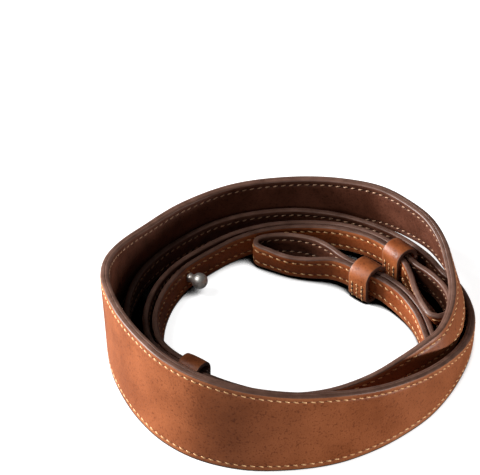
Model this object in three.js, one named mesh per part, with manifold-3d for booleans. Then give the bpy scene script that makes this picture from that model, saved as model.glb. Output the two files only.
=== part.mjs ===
// A leather camera neck strap, coiled and standing on its edge.
// Millimetres, +Z up. The origin is on the surface it stands on, under the middle of its box.
//
// The strap is one long line that winds clockwise, seen from above: from the loop of strap B
// through strap B, the neck band and strap A to the loop of strap A. Each narrow strap turns
// back at its loop, and its free end lies on its own main run, lining to lining.

import * as THREE from "three";
import { mergeVertices } from "three/addons/utils/BufferGeometryUtils.js";
import Module from "manifold-3d";

const wasm = await Module();
wasm.setup();

// Driving sizes
const coilRadius = 75; // middle of the coil to the middle of its wall
const bandWidth = 42.5; // neck band at its widest place
const bandThickness = 3.4; // both layers of the neck band
const strapWidth = 10.5;
const strapThickness = 2.4; // both layers of a narrow strap
const leatherShare = 0.55; // share of a strap's thickness that is the grain leather
const clearance = 0.3; // between pieces that touch on the real strap
const keeperLength = 10; // along the strap
const keeperWall = 1.6;
const keeperRounding = 3.2; // outside, at its lower corners
const keeperFlat = 0.4; // half the flat stretch on top, between its upper corners
const keeperHeadroom = 1.4; // room above the two runs, beyond the clearance
const keeperEase = 1.1; // room beside the two runs
const skewedEase = 1.9; // the same in keeper_b_loop, which has turned on its strap
const keeperSkew = 7; // degrees that it has turned
const studBallDiameter = 6.6;
const studPostDiameter = 3;
const studBaseDiameter = 7;
const studBaseThickness = 0.9;
const studNeckDiameter = 3.3;
const studNeckLength = 2.2; // neck that shows between the leather and the ball
const studSides = 16; // facets round a stud
const ballSteps = 9; // facets from a ball's neck to its top
const edgeRounding = 0.5; // at the corners of a layer that shows
const facetSag = 0.08; // how far a facet may stray from a curve
const bendProbe = 3; // length of line over which its bend is measured
const leastBend = 0.01; // radians over that length, where the line is nearly straight

// Derived sizes
const pairPitch = strapThickness + clearance; // middle of the main run to middle of the free run
const bandPitch = (strapThickness + bandThickness) / 2 + clearance; // band lying on a strap
const keeperLift = keeperWall + clearance; // a strap is held this far up by its keeper
const crossingLift = strapWidth + clearance; // the band passes over strap B at this height

const weldDistance = 1e-4; // points this close are one point
const degrees = Math.PI / 180;
const clearHole = studPostDiameter / 2 + clearance;

// Colours and finish
const leather = new THREE.MeshStandardMaterial({ color: 0xa0603a, roughness: 0.5 });
const lining = new THREE.MeshStandardMaterial({ color: 0x46302a, roughness: 0.7 });
const keeperLeather = new THREE.MeshStandardMaterial({ color: 0xb46a34, roughness: 0.45 });
const nickel = new THREE.MeshStandardMaterial({ color: 0x9a958c, roughness: 0.3, metalness: 1 });

// Rows of the whole line. turn: degrees clockwise from the right. reach: share of coilRadius.
// out: share of bandPitch that the line lies beyond that. wide: share of bandWidth, or else the
// row is as wide as a strap. lift: height of the lower edge, as a share of crossingLift on the
// band and of keeperLift on a strap. lean: degrees that the top leans to the grain side.
// thick: share of bandThickness. apart: share of pairPitch from the main run to the free run.
const bandRows = [
  { turn: -23, reach: 0.949, out: 1, lift: 0, lean: 0, name: "outer end" },
  { turn: -10, reach: 0.942, out: 1, wide: 0.25, lift: 0, lean: 2, thick: 0.8 },
  { turn: 2, reach: 0.91, out: 1, wide: 0.285, lift: 0, lean: 5, thick: 1 },
  { turn: 13, reach: 0.884, out: 1, wide: 0.355, lift: 0, lean: 4, thick: 1 },
  { turn: 25, reach: 0.868, out: 1, wide: 0.45, lift: 0, lean: 2, thick: 1 },
  { turn: 37, reach: 0.866, out: 1, wide: 0.545, lift: 0, lean: 1, thick: 1 },
  { turn: 49, reach: 0.868, out: 1, wide: 0.63, lift: 0, lean: 1, thick: 1.03 },
  { turn: 62, reach: 0.886, out: 1, wide: 0.72, lift: 0, lean: 1, thick: 1.06 },
  { turn: 76, reach: 0.914, out: 1, wide: 0.82, lift: 0, lean: 1, thick: 1.1 },
  { turn: 90, reach: 0.939, out: 1, wide: 0.89, lift: 0, lean: 2, thick: 1.15 },
  { turn: 104, reach: 0.968, out: 1, wide: 0.96, lift: 0, lean: 2, thick: 1.15 },
  { turn: 118, reach: 0.975, out: 1, wide: 1, lift: 0, lean: 2, thick: 1.15 },
  { turn: 131, reach: 0.952, out: 1, wide: 0.995, lift: 0, lean: 1, thick: 1.15 },
  { turn: 145, reach: 0.918, out: 1, wide: 0.97, lift: 0, lean: 0.5, thick: 1.1 },
  { turn: 158, reach: 0.904, out: 1, wide: 0.945, lift: 0, lean: 1.5, thick: 1.05 },
  { turn: 170, reach: 0.908, out: 1, wide: 0.925, lift: 0, lean: 2.5, thick: 1 },
  { turn: 182, reach: 0.92, out: 1, wide: 0.87, lift: 0, lean: 4, thick: 1 },
  { turn: 194, reach: 0.938, out: 1, wide: 0.775, lift: 0, lean: 3, thick: 1 },
  { turn: 207, reach: 0.956, out: 1, wide: 0.655, lift: 0, lean: 2, thick: 1 },
  { turn: 221, reach: 0.966, out: 1, wide: 0.58, lift: 0, lean: 0, thick: 1 },
  { turn: 238, reach: 1.005, out: 1, wide: 0.545, lift: 0, lean: 0, thick: 1 },
  { turn: 255, reach: 1.046, out: 1, wide: 0.53, lift: 0.03, lean: 0, thick: 1 },
  { turn: 272, reach: 1.066, out: 1, wide: 0.51, lift: 0.13, lean: 0, thick: 1 },
  { turn: 285, reach: 1.069, out: 1, wide: 0.485, lift: 0.33, lean: 0, thick: 1 },
  { turn: 297, reach: 1.06, out: 1, wide: 0.445, lift: 0.6, lean: 0, thick: 1 },
  { turn: 308, reach: 1.018, out: 1, wide: 0.4, lift: 0.86, lean: -1, thick: 1 },
  { turn: 318, reach: 0.984, out: 1, wide: 0.37, lift: 1.02, lean: -4, thick: 1 },
  { turn: 328, reach: 0.986, out: 0, wide: 0.345, lift: 1.04, lean: -9, thick: 1 },
  { turn: 338, reach: 0.943, out: 0, wide: 0.325, lift: 1.03, lean: -15, thick: 1 },
  { turn: 351, reach: 0.905, out: 0, wide: 0.305, lift: 1.02, lean: -18, thick: 1 },
  { turn: 364, reach: 0.87, out: 0, wide: 0.29, lift: 1.02, lean: -18, thick: 1 },
  { turn: 375, reach: 0.835, out: 0, wide: 0.28, lift: 1.02, lean: -15, thick: 0.95 },
  { turn: 383, reach: 0.785, out: 0, wide: 0.272, lift: 1.01, lean: -10, thick: 0.9 },
  { turn: 394, reach: 0.722, out: 0, wide: 0.262, lift: 0.9, lean: -5, thick: 0.85 },
  { turn: 408, reach: 0.659, out: 0, wide: 0.253, lift: 0.62, lean: -2, thick: 0.8 },
  { turn: 426, reach: 0.594, out: 0, wide: 0.247, lift: 0.3, lean: 0, thick: 0.75 },
  { turn: 444, reach: 0.548, out: 0, lift: 0.06, lean: 0, name: "inner end" },
];

// Strap A from the band's inner end to its loop keeper
const strapARows = [
  { turn: 462, reach: 0.536, lift: 0, lean: 0, apart: 0 },
  { turn: 482, reach: 0.55, lift: 0.3, lean: 0, apart: 0 },
  { turn: 498, reach: 0.6, lift: 1, lean: 0, apart: 1, name: "tail" },
  { turn: 506, reach: 0.628, lift: 1, lean: 0, apart: 1, name: "tail keeper" },
  { turn: 514, reach: 0.658, lift: 1, lean: 0, apart: 1 },
  { turn: 523, reach: 0.692, lift: 0.6, lean: 4, apart: 1.1 },
  { turn: 533, reach: 0.727, lift: 0.1, lean: 10, apart: 1.3 },
  { turn: 545, reach: 0.752, lift: 0, lean: 15, apart: 1.4 },
  { turn: 558, reach: 0.774, lift: 0, lean: 15, apart: 1.5 },
  { turn: 571, reach: 0.798, lift: 0, lean: 12, apart: 1.5 },
  { turn: 584, reach: 0.822, lift: 0, lean: 7, apart: 1.4, name: "stud" },
  { turn: 598, reach: 0.85, lift: 0, lean: 2, apart: 1.4 },
  { turn: 611, reach: 0.89, lift: 0, lean: 2, apart: 1.2 },
  { turn: 624, reach: 0.927, lift: 0, lean: 0, apart: 1.05 },
  { turn: 638, reach: 0.947, lift: 0.1, lean: 0, apart: 1 },
  { turn: 650, reach: 0.947, lift: 0.6, lean: 0, apart: 1 },
  { turn: 662, reach: 0.93, lift: 1, lean: 0, apart: 1 },
  { turn: 673, reach: 0.9, lift: 1, lean: 0, apart: 1, name: "loop keeper" },
];

// The loop of strap A, out on its main side, round its tip and back to the keeper
const loopARows = [
  { turn: 681, reach: 0.878, lift: 1, lean: 0 },
  { turn: 689, reach: 0.889, lift: 1.2, lean: 0 },
  { turn: 697, reach: 0.894, lift: 1.5, lean: 2 },
  { turn: 704, reach: 0.884, lift: 2, lean: 5 },
  { turn: 710, reach: 0.863, lift: 2.6, lean: 12 },
  { turn: 715, reach: 0.829, lift: 3.3, lean: 22 },
  { turn: 716, reach: 0.787, lift: 3.7, lean: 32 },
  { turn: 711, reach: 0.766, lift: 3.7, lean: 36 },
  { turn: 703, reach: 0.758, lift: 3.1, lean: 33 },
  { turn: 695, reach: 0.763, lift: 2.2, lean: 20 },
  { turn: 687, reach: 0.79, lift: 1.3, lean: 5 },
  { turn: 679, reach: 0.834, lift: 1, lean: 0 },
];

// Strap B from the band's outer end, written anticlockwise, to its loop keeper
const strapBRows = [
  { turn: -31, reach: 0.972, lift: 0, lean: 0, apart: 0 },
  { turn: -41, reach: 0.992, lift: 0, lean: 0, apart: 0 },
  { turn: -53, reach: 1.013, lift: 0, lean: 0, apart: 0 },
  { turn: -65, reach: 1.031, lift: 0, lean: 0, apart: 0 },
  { turn: -77, reach: 1.046, lift: 0, lean: 0, apart: 0 },
  { turn: -89, reach: 1.05, lift: 0, lean: 0, apart: 0 },
  { turn: -102, reach: 1.035, lift: 0, lean: 0, apart: 0 },
  { turn: -114, reach: 1.013, lift: 0, lean: 0, apart: 0 },
  { turn: -126, reach: 0.98, lift: 0, lean: 0, apart: 0 },
  { turn: -138, reach: 0.958, lift: 0, lean: 0, apart: 0 },
  { turn: -150, reach: 0.935, lift: 0, lean: 0, apart: 0 },
  { turn: -164, reach: 0.897, lift: 0, lean: 0, apart: 0 },
  { turn: -180, reach: 0.858, lift: 0, lean: 0, apart: 0 },
  { turn: -196, reach: 0.843, lift: 0.3, lean: 0, apart: 0 },
  { turn: -209, reach: 0.85, lift: 1, lean: 0, apart: 1, name: "tail" },
  { turn: -216, reach: 0.857, lift: 1, lean: 0, apart: 1, name: "tail keeper" },
  { turn: -225, reach: 0.862, lift: 1, lean: 0, apart: 1 },
  { turn: -240, reach: 0.865, lift: 0.2, lean: 0, apart: 1 },
  { turn: -256, reach: 0.86, lift: 0, lean: 0, apart: 1 },
  { turn: -272, reach: 0.845, lift: 0, lean: 0, apart: 1, name: "stud" },
  { turn: -290, reach: 0.83, lift: 0, lean: 0, apart: 1 },
  { turn: -306, reach: 0.822, lift: 0, lean: 0, apart: 1 },
  { turn: -320, reach: 0.83, lift: 0, lean: 0, apart: 1 },
  { turn: -332, reach: 0.824, lift: 0, lean: 0, apart: 1 },
  { turn: -342, reach: 0.808, lift: 0, lean: 0, apart: 1 },
  { turn: -352, reach: 0.782, lift: 0, lean: 0, apart: 1 },
  { turn: -363, reach: 0.75, lift: 0, lean: 0, apart: 1 },
  { turn: -375, reach: 0.729, lift: 0, lean: 2, apart: 1 },
  { turn: -388, reach: 0.702, lift: 0.5, lean: 6, apart: 1 },
  { turn: -400, reach: 0.678, lift: 1, lean: 1, apart: 1 },
  { turn: -409, reach: 0.662, lift: 1, lean: 0, apart: 1, name: "loop keeper" },
];

const loopBRows = [
  { turn: -420, reach: 0.665, lift: 1, lean: 0 },
  { turn: -425, reach: 0.682, lift: 1, lean: 0 },
  { turn: -432, reach: 0.728, lift: 1, lean: 0 },
  { turn: -439, reach: 0.776, lift: 0.8, lean: 0 },
  { turn: -448, reach: 0.808, lift: 0.6, lean: 0 },
  { turn: -456, reach: 0.816, lift: 0.5, lean: 0 },
  { turn: -462, reach: 0.797, lift: 0.5, lean: 0 },
  { turn: -463, reach: 0.75, lift: 0.5, lean: 3 },
  { turn: -458, reach: 0.688, lift: 0.5, lean: 7 },
  { turn: -450, reach: 0.63, lift: 0.5, lean: 10 },
  { turn: -440, reach: 0.61, lift: 0.7, lean: 8 },
  { turn: -427, reach: 0.632, lift: 1, lean: 1 },
];

// A closed body from the rings of points of its sections. Rings that run clockwise, to a viewer
// who looks along the line, are turned inside out.
function lofted(rings, isClockwise) {
  const positions = rings.flat().flatMap((p) => [p.x, p.y, p.z]);
  const around = rings[0].length;
  const faces = [];
  for (let i = 0; i + 1 < rings.length; i++) {
    for (let k = 0; k < around; k++) {
      const a = i * around + k;
      const b = i * around + ((k + 1) % around);
      faces.push(a, b, b + around, a, b + around, a + around);
    }
  }
  const last = (rings.length - 1) * around;
  for (let k = 1; k + 1 < around; k++) {
    faces.push(0, k + 1, k, last, last + k, last + k + 1);
  }
  if (isClockwise) faces.reverse();
  const geometry = new THREE.BufferGeometry();
  geometry.setAttribute("position", new THREE.Float32BufferAttribute(positions, 3));
  geometry.setIndex(faces);
  return geometry;
}

// One row as a place in space with its section sizes
function station(row, liftUnit, run) {
  const angle = -row.turn * degrees;
  const radius = coilRadius * row.reach + bandPitch * (row.out ?? 0);
  return {
    name: row.name && [run, row.name].filter(Boolean).join(" "),
    place: new THREE.Vector3(radius * Math.cos(angle), radius * Math.sin(angle), row.lift * liftUnit),
    width: row.wide === undefined ? strapWidth : row.wide * bandWidth,
    thickness: row.thick === undefined ? strapThickness : row.thick * bandThickness,
    lean: row.lean,
    apart: row.apart ?? 0,
  };
}

// A smooth line through stations. It winds clockwise along a main run, so that its left side,
// where the grain is, is the outside of the coil.
class Line {
  constructor(stations) {
    this.stations = stations;
    this.path = new THREE.CatmullRomCurve3(stations.map((s) => s.place), false, "centripetal");
    const sizes = stations.map((s) => new THREE.Vector3(s.width, s.thickness, s.lean));
    this.sizes = new THREE.CatmullRomCurve3(sizes, false, "catmullrom", 0.5);
  }

  // Share of the line at a named station, moved on by a distance
  at(name, distance = 0) {
    const segments = this.stations.length - 1;
    const share = this.stations.findIndex((s) => s.name === name) / segments;
    return share + distance * this.rate(share);
  }

  // Change of share for each millimetre
  rate(share) {
    const small = 1e-4;
    const [a, b] = [Math.max(0, share - small), Math.min(1, share + small)];
    return (b - a) / this.path.getPoint(a).distanceTo(this.path.getPoint(b));
  }

  level(share) {
    const tangent = this.path.getTangent(share);
    return new THREE.Vector3(-tangent.y, tangent.x, 0).normalize();
  }

  // The section at a share of the line: its middle, its axes and its sizes
  frame(share) {
    const [width, thickness, leanDegrees] = this.sizes.getPoint(share).toArray();
    const lean = leanDegrees * degrees;
    const level = this.level(share);
    const along = new THREE.Vector3(level.y, -level.x, 0);
    const up = new THREE.Vector3(0, 0, Math.cos(lean)).addScaledVector(level, Math.sin(lean));
    const grain = new THREE.Vector3().crossVectors(up, along);
    const middle = this.path.getPoint(share);
    const high = width * Math.cos(lean) + thickness * Math.abs(Math.sin(lean));
    middle.z = Math.max(0, middle.z) + high / 2;
    return { middle, along, up, grain, width, thickness };
  }

  // Shares from one to another, closer together where the line bends more
  shares(from, to) {
    const list = [from];
    let share = from;
    while (share < to) {
      const rate = this.rate(share);
      const ahead = this.level(Math.min(1, share + bendProbe * rate));
      const radius = bendProbe / Math.max(this.level(share).angleTo(ahead), leastBend);
      const chord = Math.sqrt(8 * facetSag * radius);
      share += chord * rate;
      list.push(share);
    }
    const stretch = (to - from) / (share - from);
    return list.map((s) => from + (s - from) * stretch);
  }
}

// A free run's stations: the main run's in reverse, moved to its lining side
function freeRun(mainStations, run) {
  const main = new Line(mainStations);
  const first = mainStations.findIndex((s) => s.name === `${run} tail`);
  const last = mainStations.findIndex((s) => s.name === `${run} loop keeper`);
  const ends = [Math.min(first, last), Math.max(first, last)];
  return mainStations
    .map((s, i) => {
      const outward = main.level(i / (mainStations.length - 1));
      const place = s.place.clone().addScaledVector(outward, -s.apart * pairPitch);
      return { ...s, place, lean: -s.lean, name: s.name && `free ${s.name}` };
    })
    .slice(ends[0], ends[1] + 1)
    .reverse();
}

const bandStations = bandRows.map((row) => station(row, crossingLift));
const mainA = strapARows.map((row) => station(row, keeperLift, "strap a"));
const loopA = loopARows.map((row) => station(row, keeperLift));
const mainB = strapBRows.map((row) => station(row, keeperLift, "strap b")).reverse();
const loopB = loopBRows.map((row) => station(row, keeperLift)).reverse();
const line = new Line([
  ...freeRun(mainB, "strap b"), ...loopB, ...mainB,
  ...bandStations,
  ...mainA, ...loopA, ...freeRun(mainA, "strap a"),
]);

// One layer of the line between two shares. The grain leather is the part of the thickness on
// the line's left, the lining is the rest.
function layer(shares, isGrain) {
  const rings = shares.map((share) => {
    const { middle, up, grain, width, thickness } = line.frame(share);
    const split = thickness * (0.5 - leatherShare);
    const near = isGrain ? split + clearance / 2 : split - clearance / 2;
    const far = isGrain ? thickness / 2 : -thickness / 2;
    const cut = far - Math.sign(far) * edgeRounding;
    const half = width / 2;
    const corners = [
      [near, -half], [cut, -half], [far, edgeRounding - half],
      [far, half - edgeRounding], [cut, half], [near, half],
    ];
    return corners.map(([across, high]) =>
      middle.clone().addScaledVector(grain, across).addScaledVector(up, high));
  });
  return lofted(rings, !isGrain);
}

function solid(geometry) {
  const bare = geometry.clone();
  bare.deleteAttribute("normal");
  bare.deleteAttribute("uv");
  const merged = mergeVertices(bare, weldDistance);
  const vertProperties = new Float32Array(merged.getAttribute("position").array);
  const triVerts = new Uint32Array(merged.getIndex().array);
  return new wasm.Manifold(new wasm.Mesh({ numProp: 3, vertProperties, triVerts }));
}

function geometryOf(manifold) {
  const mesh = manifold.getMesh();
  const geometry = new THREE.BufferGeometry();
  geometry.setAttribute("position", new THREE.BufferAttribute(mesh.vertProperties, 3));
  geometry.setIndex(new THREE.BufferAttribute(mesh.triVerts, 1));
  return geometry;
}

function drilled(geometry, holes) {
  return geometryOf(holes.reduce((body, hole) => body.subtract(solid(hole)), solid(geometry)));
}

const group = new THREE.Group();

function add(name, geometry, material) {
  const mesh = new THREE.Mesh(geometry, material);
  mesh.name = name;
  mesh.material.flatShading = true;
  group.add(mesh);
}

// The place between the main run and the free run at a named station of the main run
function pairFrame(name) {
  const frame = line.frame(line.at(name));
  const gap = line.stations.find((s) => s.name === name).apart * pairPitch;
  const middle = frame.middle.clone().addScaledVector(frame.grain, -gap / 2);
  return { ...frame, middle, gap };
}

// Turns a shape that is drawn with x to the grain side, y up and z along into its place
function placed(geometry, { middle, grain, up, along }) {
  const basis = new THREE.Matrix4().makeBasis(grain, up, along);
  return geometry.applyMatrix4(basis.setPosition(middle));
}

// A frame turned about its upright axis, anticlockwise from above
function skewed(frame, degreesTurned) {
  const turn = (v) => v.clone().applyAxisAngle(frame.up, degreesTurned * degrees);
  return { ...frame, grain: turn(frame.grain), along: turn(frame.along) };
}

// A keeper: a closed band of leather round both runs
function keeper(name, frame, ease) {
  const halfAcross = (frame.gap + strapThickness) / 2 + ease;
  const outline = new THREE.Shape(arched(halfAcross, keeperWall));
  outline.holes.push(new THREE.Path(arched(halfAcross, 0)));
  const tube = new THREE.ExtrudeGeometry(outline, { depth: keeperLength, bevelEnabled: false });
  add(name, placed(tube.translate(0, 0, -keeperLength / 2), frame), keeperLeather);
}

// Points round a keeper, at a depth outside its hole: arched above, with tighter corners below
function arched(halfAcross, depth) {
  const arch = halfAcross - keeperFlat;
  const foot = keeperRounding - keeperWall;
  const low = strapWidth / 2 + clearance;
  const upper = low + keeperHeadroom - arch;
  const corners = [
    [keeperFlat, upper, arch], [-keeperFlat, upper, arch],
    [foot - halfAcross, foot - low, foot], [halfAcross - foot, foot - low, foot],
  ];
  return corners.flatMap(([x, y, radius], quarter) => [0, 1, 2, 3, 4].map((step) => {
    const angle = (quarter + step / 4) * 90 * degrees;
    const reach = radius + depth;
    return new THREE.Vector2(x + reach * Math.cos(angle), y + reach * Math.sin(angle));
  }));
}

// A shape turned about an axis that is then laid from the free run's face, at 0, to the grain
// side of the main run
function turned(profile, frame) {
  const points = profile.map(([r, h]) => new THREE.Vector2(r, h));
  const lathe = new THREE.LatheGeometry(points, studSides);
  return placed(lathe.rotateZ(-90 * degrees), frame);
}

// A ball stud: a screw whose flat head lies on the main run, and the ball on the free run
function stud(name, frame) {
  const half = (frame.gap + strapThickness) / 2;
  const post = studPostDiameter / 2;
  const head = half + clearance;
  const seat = -half - clearance;
  const screw = [
    [0, seat], [post, seat], [post, head], [studBaseDiameter / 2, head],
    [studBaseDiameter / 2, head + studBaseThickness], [0, head + studBaseThickness],
  ];
  add(`${name}_screw`, turned(screw, frame), nickel);

  const ballRadius = studBallDiameter / 2;
  const neckEnd = seat - clearance - studNeckLength;
  const neckRadius = studNeckDiameter / 2;
  const centre = neckEnd - Math.sqrt(ballRadius ** 2 - neckRadius ** 2);
  const ball = [[0, seat - clearance], [neckRadius, seat - clearance]];
  const firstAngle = Math.asin(neckRadius / ballRadius);
  for (let i = 0; i < ballSteps; i++) {
    const angle = firstAngle + ((Math.PI - firstAngle) * i) / ballSteps;
    ball.push([ballRadius * Math.sin(angle), centre + ballRadius * Math.cos(angle)]);
  }
  ball.push([0, centre - ballRadius]);
  add(`${name}_ball`, turned(ball.reverse(), frame), nickel);
}

// A hole for a stud's post through both runs
function postHole(frame) {
  const length = 2 * (frame.gap + strapThickness);
  const hole = new THREE.CylinderGeometry(clearHole, clearHole, length, studSides);
  return placed(hole.rotateZ(-90 * degrees), frame);
}

const seam = clearance / 2;
const studA = pairFrame("strap a stud");
const studB = pairFrame("strap b stud");
const band = line.shares(line.at("outer end", seam), line.at("inner end", -seam));
const strapA = line.shares(line.at("inner end", seam), 1);
const strapB = line.shares(0, line.at("outer end", -seam));

add("neck_band_leather", layer(band, true), leather);
add("neck_band_lining", layer(band, false), lining);
add("strap_a_leather", drilled(layer(strapA, true), [postHole(studA)]), leather);
add("strap_a_lining", drilled(layer(strapA, false), [postHole(studA)]), lining);
add("strap_b_leather", drilled(layer(strapB, true), [postHole(studB)]), leather);
add("strap_b_lining", drilled(layer(strapB, false), [postHole(studB)]), lining);
keeper("keeper_a_loop", pairFrame("strap a loop keeper"), keeperEase);
keeper("keeper_a_tail", pairFrame("strap a tail keeper"), keeperEase);
keeper("keeper_b_loop", skewed(pairFrame("strap b loop keeper"), -keeperSkew), skewedEase);
keeper("keeper_b_tail", pairFrame("strap b tail keeper"), keeperEase);
stud("stud_a", studA);
stud("stud_b", studB);

// The coil's box is centred on the origin
const middle = new THREE.Box3().setFromObject(group).getCenter(new THREE.Vector3());
group.position.set(-middle.x, -middle.y, 0);

export default group;
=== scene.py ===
"""A leather camera neck strap, coiled and standing on its edge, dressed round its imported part.

Metres, +Z up, in the part's own frame. The strap is one long line that winds clockwise, seen
from above: loop of strap B, strap B, neck band, strap A, loop of strap A.
"""

import math
from collections import namedtuple

import bpy
import numpy as np
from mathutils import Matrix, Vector


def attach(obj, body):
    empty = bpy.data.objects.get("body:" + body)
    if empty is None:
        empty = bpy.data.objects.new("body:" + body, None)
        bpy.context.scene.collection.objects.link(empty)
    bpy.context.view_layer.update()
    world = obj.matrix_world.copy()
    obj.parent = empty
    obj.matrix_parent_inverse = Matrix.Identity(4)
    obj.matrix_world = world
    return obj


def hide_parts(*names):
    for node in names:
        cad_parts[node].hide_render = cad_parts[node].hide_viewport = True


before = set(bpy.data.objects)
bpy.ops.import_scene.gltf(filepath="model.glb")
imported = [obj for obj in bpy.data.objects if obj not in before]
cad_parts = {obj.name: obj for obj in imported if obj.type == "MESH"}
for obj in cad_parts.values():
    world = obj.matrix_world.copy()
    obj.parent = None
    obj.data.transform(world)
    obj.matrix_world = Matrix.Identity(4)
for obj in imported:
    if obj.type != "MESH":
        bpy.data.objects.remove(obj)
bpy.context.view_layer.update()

# The lay of the strap.
# The whole strap is sewn from two layers of leather, and it is stiff enough to stand on its edge
# in the coil that it was rolled into. Its line runs through rows, as in the part's own source.
mm = 0.001
coil_radius = 75 * mm  # middle of the coil to the middle of its wall
coil_shift = np.array([0.30845, -3.96703, 0]) * mm  # brings the coil's box over the origin
band_width = 42.5 * mm  # neck band at its widest place
band_thickness = 3.4 * mm
strap_width = 10.5 * mm
strap_thickness = 2.4 * mm
leather_share = 0.55  # share of the thickness that is the grain leather
clearance = 0.3 * mm
keeper_wall = 1.6 * mm

pair_pitch = strap_thickness + clearance  # from the middle of a main run to its free run
band_pitch = (strap_thickness + band_thickness) / 2 + clearance
keeper_lift = keeper_wall + clearance  # a strap is held this far up by its keeper
crossing_lift = strap_width + clearance  # the band passes over strap B at this height

# turn: degrees clockwise from the right. reach: share of coil_radius. out: share of band_pitch
# beyond that. wide: share of band_width. lift: height of the lower edge, as a share of
# crossing_lift on the band and of keeper_lift on a strap. lean: degrees that the top leans to
# the grain side. thick: share of band_thickness. apart: share of pair_pitch to the free run.
band_rows = [
    # turn, reach, out, wide, lift, lean, thick, name
    (-23, 0.949, 1, None, 0, 0, None, "outer end"),
    (-10, 0.942, 1, 0.25, 0, 2, 0.8),
    (2, 0.91, 1, 0.285, 0, 5, 1),
    (13, 0.884, 1, 0.355, 0, 4, 1),
    (25, 0.868, 1, 0.45, 0, 2, 1),
    (37, 0.866, 1, 0.545, 0, 1, 1),
    (49, 0.868, 1, 0.63, 0, 1, 1.03),
    (62, 0.886, 1, 0.72, 0, 1, 1.06),
    (76, 0.914, 1, 0.82, 0, 1, 1.1),
    (90, 0.939, 1, 0.89, 0, 2, 1.15),
    (104, 0.968, 1, 0.96, 0, 2, 1.15),
    (118, 0.975, 1, 1, 0, 2, 1.15),
    (131, 0.952, 1, 0.995, 0, 1, 1.15),
    (145, 0.918, 1, 0.97, 0, 0.5, 1.1),
    (158, 0.904, 1, 0.945, 0, 1.5, 1.05),
    (170, 0.908, 1, 0.925, 0, 2.5, 1),
    (182, 0.92, 1, 0.87, 0, 4, 1),
    (194, 0.938, 1, 0.775, 0, 3, 1),
    (207, 0.956, 1, 0.655, 0, 2, 1),
    (221, 0.966, 1, 0.58, 0, 0, 1),
    (238, 1.005, 1, 0.545, 0, 0, 1),
    (255, 1.046, 1, 0.53, 0.03, 0, 1),
    (272, 1.066, 1, 0.51, 0.13, 0, 1),
    (285, 1.069, 1, 0.485, 0.33, 0, 1),
    (297, 1.06, 1, 0.445, 0.6, 0, 1),
    (308, 1.018, 1, 0.4, 0.86, -1, 1),
    (318, 0.984, 1, 0.37, 1.02, -4, 1),
    (328, 0.986, 0, 0.345, 1.04, -9, 1),
    (338, 0.943, 0, 0.325, 1.03, -15, 1),
    (351, 0.905, 0, 0.305, 1.02, -18, 1),
    (364, 0.87, 0, 0.29, 1.02, -18, 1),
    (375, 0.835, 0, 0.28, 1.02, -15, 0.95),
    (383, 0.785, 0, 0.272, 1.01, -10, 0.9),
    (394, 0.722, 0, 0.262, 0.9, -5, 0.85),
    (408, 0.659, 0, 0.253, 0.62, -2, 0.8),
    (426, 0.594, 0, 0.247, 0.3, 0, 0.75),
    (444, 0.548, 0, None, 0.06, 0, None, "inner end"),
]
strap_a_rows = [
    # turn, reach, lift, lean, apart, name
    (462, 0.536, 0, 0, 0),
    (482, 0.55, 0.3, 0, 0),
    (498, 0.6, 1, 0, 1, "tail"),
    (506, 0.628, 1, 0, 1, "tail keeper"),
    (514, 0.658, 1, 0, 1),
    (523, 0.692, 0.6, 4, 1.1),
    (533, 0.727, 0.1, 10, 1.3),
    (545, 0.752, 0, 15, 1.4),
    (558, 0.774, 0, 15, 1.5),
    (571, 0.798, 0, 12, 1.5),
    (584, 0.822, 0, 7, 1.4, "stud"),
    (598, 0.85, 0, 2, 1.4),
    (611, 0.89, 0, 2, 1.2),
    (624, 0.927, 0, 0, 1.05),
    (638, 0.947, 0.1, 0, 1),
    (650, 0.947, 0.6, 0, 1),
    (662, 0.93, 1, 0, 1),
    (673, 0.9, 1, 0, 1, "loop keeper"),
]
loop_a_rows = [
    # turn, reach, lift, lean
    (681, 0.878, 1, 0),
    (689, 0.889, 1.2, 0),
    (697, 0.894, 1.5, 2),
    (704, 0.884, 2, 5),
    (710, 0.863, 2.6, 12),
    (715, 0.829, 3.3, 22),
    (716, 0.787, 3.7, 32),
    (711, 0.766, 3.7, 36),
    (703, 0.758, 3.1, 33),
    (695, 0.763, 2.2, 20),
    (687, 0.79, 1.3, 5),
    (679, 0.834, 1, 0),
]
strap_b_rows = [
    # turn, reach, lift, lean, apart, name
    (-31, 0.972, 0, 0, 0),
    (-41, 0.992, 0, 0, 0),
    (-53, 1.013, 0, 0, 0),
    (-65, 1.031, 0, 0, 0),
    (-77, 1.046, 0, 0, 0),
    (-89, 1.05, 0, 0, 0),
    (-102, 1.035, 0, 0, 0),
    (-114, 1.013, 0, 0, 0),
    (-126, 0.98, 0, 0, 0),
    (-138, 0.958, 0, 0, 0),
    (-150, 0.935, 0, 0, 0),
    (-164, 0.897, 0, 0, 0),
    (-180, 0.858, 0, 0, 0),
    (-196, 0.843, 0.3, 0, 0),
    (-209, 0.85, 1, 0, 1, "tail"),
    (-216, 0.857, 1, 0, 1, "tail keeper"),
    (-225, 0.862, 1, 0, 1),
    (-240, 0.865, 0.2, 0, 1),
    (-256, 0.86, 0, 0, 1),
    (-272, 0.845, 0, 0, 1, "stud"),
    (-290, 0.83, 0, 0, 1),
    (-306, 0.822, 0, 0, 1),
    (-320, 0.83, 0, 0, 1),
    (-332, 0.824, 0, 0, 1),
    (-342, 0.808, 0, 0, 1),
    (-352, 0.782, 0, 0, 1),
    (-363, 0.75, 0, 0, 1),
    (-375, 0.729, 0, 2, 1),
    (-388, 0.702, 0.5, 6, 1),
    (-400, 0.678, 1, 1, 1),
    (-409, 0.662, 1, 0, 1, "loop keeper"),
]
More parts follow.
